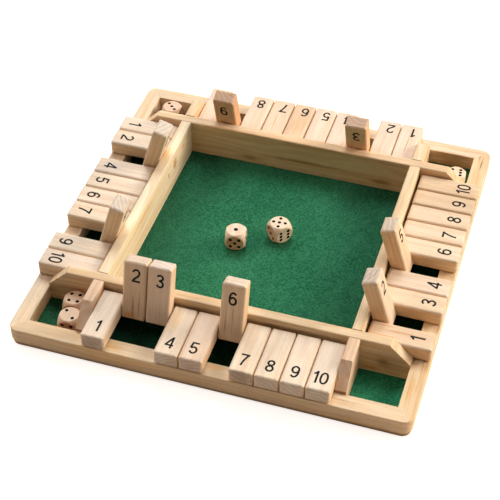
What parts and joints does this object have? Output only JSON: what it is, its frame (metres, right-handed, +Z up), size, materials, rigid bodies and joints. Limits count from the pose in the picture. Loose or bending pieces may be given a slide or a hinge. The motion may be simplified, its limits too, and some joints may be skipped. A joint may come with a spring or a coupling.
{
  "type": "shut the box game",
  "caption": "Square wooden board game: a felt tray with a row of hinged numbered flaps on each side, corner pockets and wooden dice.",
  "frame": {"origin": "centre of the square board on its underside, where it rests on the table", "axes": "+X along the front edge to the right, +Y from the front to the back, +Z up"},
  "size_m": [0.31, 0.31, 0.0658],
  "materials": {
    "frame_wood": "satin",
    "rail_wood": "satin",
    "flap_wood": "satin",
    "dice_wood": "satin",
    "ply": "matte",
    "felt": "matte",
    "steel": "satin"
  },
  "bodies": {
    "board": {"base_board": "ply", "felt_sheet": "felt", "frame_front": "frame_wood", "frame_right": "frame_wood", "frame_back": "frame_wood", "frame_left": "frame_wood", "rail_front": "rail_wood", "rail_right": "rail_wood", "rail_back": "rail_wood", "rail_left": "rail_wood", "front_dividers": "rail_wood", "back_dividers": "rail_wood", "pivot_rods": "steel"},
    "front_flap_1": {"front_flap_1": "flap_wood"},
    "front_flap_2": {"front_flap_2": "flap_wood"},
    "front_flap_3": {"front_flap_3": "flap_wood"},
    "front_flap_4": {"front_flap_4": "flap_wood"},
    "front_flap_5": {"front_flap_5": "flap_wood"},
    "front_flap_6": {"front_flap_6": "flap_wood"},
    "front_flap_7": {"front_flap_7": "flap_wood"},
    "front_flap_8": {"front_flap_8": "flap_wood"},
    "front_flap_9": {"front_flap_9": "flap_wood"},
    "front_flap_10": {"front_flap_10": "flap_wood"},
    "right_flap_1": {"right_flap_1": "flap_wood"},
    "right_flap_2": {"right_flap_2": "flap_wood"},
    "right_flap_3": {"right_flap_3": "flap_wood"},
    "right_flap_4": {"right_flap_4": "flap_wood"},
    "right_flap_5": {"right_flap_5": "flap_wood"},
    "right_flap_6": {"right_flap_6": "flap_wood"},
    "right_flap_7": {"right_flap_7": "flap_wood"},
    "right_flap_8": {"right_flap_8": "flap_wood"},
    "right_flap_9": {"right_flap_9": "flap_wood"},
    "right_flap_10": {"right_flap_10": "flap_wood"},
    "back_flap_1": {"back_flap_1": "flap_wood"},
    "back_flap_2": {"back_flap_2": "flap_wood"},
    "back_flap_3": {"back_flap_3": "flap_wood"},
    "back_flap_4": {"back_flap_4": "flap_wood"},
    "back_flap_5": {"back_flap_5": "flap_wood"},
    "back_flap_6": {"back_flap_6": "flap_wood"},
    "back_flap_7": {"back_flap_7": "flap_wood"},
    "back_flap_8": {"back_flap_8": "flap_wood"},
    "back_flap_9": {"back_flap_9": "flap_wood"},
    "back_flap_10": {"back_flap_10": "flap_wood"},
    "left_flap_1": {"left_flap_1": "flap_wood"},
    "left_flap_2": {"left_flap_2": "flap_wood"},
    "left_flap_3": {"left_flap_3": "flap_wood"},
    "left_flap_4": {"left_flap_4": "flap_wood"},
    "left_flap_5": {"left_flap_5": "flap_wood"},
    "left_flap_6": {"left_flap_6": "flap_wood"},
    "left_flap_7": {"left_flap_7": "flap_wood"},
    "left_flap_8": {"left_flap_8": "flap_wood"},
    "left_flap_9": {"left_flap_9": "flap_wood"},
    "left_flap_10": {"left_flap_10": "flap_wood"},
    "die_tray_left": {"die_tray_left": "dice_wood"},
    "die_tray_right": {"die_tray_right": "dice_wood"},
    "die_front_left_inner": {"die_front_left_inner": "dice_wood"},
    "die_front_left_outer": {"die_front_left_outer": "dice_wood"},
    "die_back_left": {"die_back_left": "dice_wood"},
    "die_back_right": {"die_back_right": "dice_wood"}
  },
  "joints": [
    {"name": "front_flap_1_pivot", "type": "hinge", "parent": "board", "child": "front_flap_1", "pos_m": [-0.08572, -0.11275, 0.0238], "axis": [-1, 0, 0], "range_deg": [0, 106.5]},
    {"name": "front_flap_2_pivot", "type": "hinge", "parent": "board", "child": "front_flap_2", "pos_m": [-0.06667, -0.11275, 0.0238], "axis": [-1, 0, 0], "range_deg": [-106.5, 0]},
    {"name": "front_flap_3_pivot", "type": "hinge", "parent": "board", "child": "front_flap_3", "pos_m": [-0.04763, -0.11275, 0.0238], "axis": [-1, 0, 0], "range_deg": [-106.5, 0]},
    {"name": "front_flap_4_pivot", "type": "hinge", "parent": "board", "child": "front_flap_4", "pos_m": [-0.02857, -0.11275, 0.0238], "axis": [-1, 0, 0], "range_deg": [0, 106.5]},
    {"name": "front_flap_5_pivot", "type": "hinge", "parent": "board", "child": "front_flap_5", "pos_m": [-0.00953, -0.11275, 0.0238], "axis": [-1, 0, 0], "range_deg": [0, 106.5]},
    {"name": "front_flap_6_pivot", "type": "hinge", "parent": "board", "child": "front_flap_6", "pos_m": [0.00953, -0.11275, 0.0238], "axis": [-1, 0, 0], "range_deg": [-106.5, 0]},
    {"name": "front_flap_7_pivot", "type": "hinge", "parent": "board", "child": "front_flap_7", "pos_m": [0.02857, -0.11275, 0.0238], "axis": [-1, 0, 0], "range_deg": [0, 106.5]},
    {"name": "front_flap_8_pivot", "type": "hinge", "parent": "board", "child": "front_flap_8", "pos_m": [0.04763, -0.11275, 0.0238], "axis": [-1, 0, 0], "range_deg": [0, 106.5]},
    {"name": "front_flap_9_pivot", "type": "hinge", "parent": "board", "child": "front_flap_9", "pos_m": [0.06667, -0.11275, 0.0238], "axis": [-1, 0, 0], "range_deg": [0, 106.5]},
    {"name": "front_flap_10_pivot", "type": "hinge", "parent": "board", "child": "front_flap_10", "pos_m": [0.08572, -0.11275, 0.0238], "axis": [-1, 0, 0], "range_deg": [0, 106.5]},
    {"name": "right_flap_1_pivot", "type": "hinge", "parent": "board", "child": "right_flap_1", "pos_m": [0.11275, -0.08572, 0.0238], "axis": [0, -1, 0], "range_deg": [0, 106.5]},
    {"name": "right_flap_2_pivot", "type": "hinge", "parent": "board", "child": "right_flap_2", "pos_m": [0.11275, -0.06667, 0.0238], "axis": [0, -1, 0], "range_deg": [-106.5, 0]},
    {"name": "right_flap_3_pivot", "type": "hinge", "parent": "board", "child": "right_flap_3", "pos_m": [0.11275, -0.04763, 0.0238], "axis": [0, -1, 0], "range_deg": [0, 106.5]},
    {"name": "right_flap_4_pivot", "type": "hinge", "parent": "board", "child": "right_flap_4", "pos_m": [0.11275, -0.02857, 0.0238], "axis": [0, -1, 0], "range_deg": [0, 106.5]},
    {"name": "right_flap_5_pivot", "type": "hinge", "parent": "board", "child": "right_flap_5", "pos_m": [0.11275, -0.00953, 0.0238], "axis": [0, -1, 0], "range_deg": [-106.5, 0]},
    {"name": "right_flap_6_pivot", "type": "hinge", "parent": "board", "child": "right_flap_6", "pos_m": [0.11275, 0.00953, 0.0238], "axis": [0, -1, 0], "range_deg": [0, 106.5]},
    {"name": "right_flap_7_pivot", "type": "hinge", "parent": "board", "child": "right_flap_7", "pos_m": [0.11275, 0.02857, 0.0238], "axis": [0, -1, 0], "range_deg": [0, 106.5]},
    {"name": "right_flap_8_pivot", "type": "hinge", "parent": "board", "child": "right_flap_8", "pos_m": [0.11275, 0.04763, 0.0238], "axis": [0, -1, 0], "range_deg": [0, 106.5]},
    {"name": "right_flap_9_pivot", "type": "hinge", "parent": "board", "child": "right_flap_9", "pos_m": [0.11275, 0.06667, 0.0238], "axis": [0, -1, 0], "range_deg": [0, 106.5]},
    {"name": "right_flap_10_pivot", "type": "hinge", "parent": "board", "child": "right_flap_10", "pos_m": [0.11275, 0.08572, 0.0238], "axis": [0, -1, 0], "range_deg": [0, 106.5]},
    {"name": "back_flap_1_pivot", "type": "hinge", "parent": "board", "child": "back_flap_1", "pos_m": [0.08572, 0.11275, 0.0238], "axis": [1, 0, 0], "range_deg": [0, 106.5]},
    {"name": "back_flap_2_pivot", "type": "hinge", "parent": "board", "child": "back_flap_2", "pos_m": [0.06667, 0.11275, 0.0238], "axis": [1, 0, 0], "range_deg": [0, 106.5]},
    {"name": "back_flap_3_pivot", "type": "hinge", "parent": "board", "child": "back_flap_3", "pos_m": [0.04763, 0.11275, 0.0238], "axis": [1, 0, 0], "range_deg": [-106.5, 0]},
    {"name": "back_flap_4_pivot", "type": "hinge", "parent": "board", "child": "back_flap_4", "pos_m": [0.02857, 0.11275, 0.0238], "axis": [1, 0, 0], "range_deg": [0, 106.5]},
    {"name": "back_flap_5_pivot", "type": "hinge", "parent": "board", "child": "back_flap_5", "pos_m": [0.00953, 0.11275, 0.0238], "axis": [1, 0, 0], "range_deg": [0, 106.5]},
    {"name": "back_flap_6_pivot", "type": "hinge", "parent": "board", "child": "back_flap_6", "pos_m": [-0.00953, 0.11275, 0.0238], "axis": [1, 0, 0], "range_deg": [0, 106.5]},
    {"name": "back_flap_7_pivot", "type": "hinge", "parent": "board", "child": "back_flap_7", "pos_m": [-0.02857, 0.11275, 0.0238], "axis": [1, 0, 0], "range_deg": [0, 106.5]},
    {"name": "back_flap_8_pivot", "type": "hinge", "parent": "board", "child": "back_flap_8", "pos_m": [-0.04763, 0.11275, 0.0238], "axis": [1, 0, 0], "range_deg": [0, 106.5]},
    {"name": "back_flap_9_pivot", "type": "hinge", "parent": "board", "child": "back_flap_9", "pos_m": [-0.06667, 0.11275, 0.0238], "axis": [1, 0, 0], "range_deg": [-106.5, 0]},
    {"name": "back_flap_10_pivot", "type": "hinge", "parent": "board", "child": "back_flap_10", "pos_m": [-0.08572, 0.11275, 0.0238], "axis": [1, 0, 0], "range_deg": [0, 106.5]},
    {"name": "left_flap_1_pivot", "type": "hinge", "parent": "board", "child": "left_flap_1", "pos_m": [-0.11275, 0.08572, 0.0238], "axis": [0, 1, 0], "range_deg": [0, 106.5]},
    {"name": "left_flap_2_pivot", "type": "hinge", "parent": "board", "child": "left_flap_2", "pos_m": [-0.11275, 0.06667, 0.0238], "axis": [0, 1, 0], "range_deg": [0, 106.5]},
    {"name": "left_flap_3_pivot", "type": "hinge", "parent": "board", "child": "left_flap_3", "pos_m": [-0.11275, 0.04763, 0.0238], "axis": [0, 1, 0], "range_deg": [-106.5, 0]},
    {"name": "left_flap_4_pivot", "type": "hinge", "parent": "board", "child": "left_flap_4", "pos_m": [-0.11275, 0.02857, 0.0238], "axis": [0, 1, 0], "range_deg": [0, 106.5]},
    {"name": "left_flap_5_pivot", "type": "hinge", "parent": "board", "child": "left_flap_5", "pos_m": [-0.11275, 0.00953, 0.0238], "axis": [0, 1, 0], "range_deg": [0, 106.5]},
    {"name": "left_flap_6_pivot", "type": "hinge", "parent": "board", "child": "left_flap_6", "pos_m": [-0.11275, -0.00953, 0.0238], "axis": [0, 1, 0], "range_deg": [0, 106.5]},
    {"name": "left_flap_7_pivot", "type": "hinge", "parent": "board", "child": "left_flap_7", "pos_m": [-0.11275, -0.02857, 0.0238], "axis": [0, 1, 0], "range_deg": [0, 106.5]},
    {"name": "left_flap_8_pivot", "type": "hinge", "parent": "board", "child": "left_flap_8", "pos_m": [-0.11275, -0.04763, 0.0238], "axis": [0, 1, 0], "range_deg": [-106.5, 0]},
    {"name": "left_flap_9_pivot", "type": "hinge", "parent": "board", "child": "left_flap_9", "pos_m": [-0.11275, -0.06667, 0.0238], "axis": [0, 1, 0], "range_deg": [0, 106.5]},
    {"name": "left_flap_10_pivot", "type": "hinge", "parent": "board", "child": "left_flap_10", "pos_m": [-0.11275, -0.08572, 0.0238], "axis": [0, 1, 0], "range_deg": [0, 106.5]},
    {"name": "die_tray_left_lift", "type": "slide", "parent": "board", "child": "die_tray_left", "axis": [0, 0, 1], "range_m": [0, 0.05]},
    {"name": "die_tray_right_lift", "type": "slide", "parent": "board", "child": "die_tray_right", "axis": [0, 0, 1], "range_m": [0, 0.05]},
    {"name": "die_front_left_inner_lift", "type": "slide", "parent": "board", "child": "die_front_left_inner", "axis": [0, 0, 1], "range_m": [0, 0.05]},
    {"name": "die_front_left_outer_lift", "type": "slide", "parent": "board", "child": "die_front_left_outer", "axis": [0, 0, 1], "range_m": [0, 0.05]},
    {"name": "die_back_left_lift", "type": "slide", "parent": "board", "child": "die_back_left", "axis": [0, 0, 1], "range_m": [0, 0.05]},
    {"name": "die_back_right_lift", "type": "slide", "parent": "board", "child": "die_back_right", "axis": [0, 0, 1], "range_m": [0, 0.05]}
  ]
}
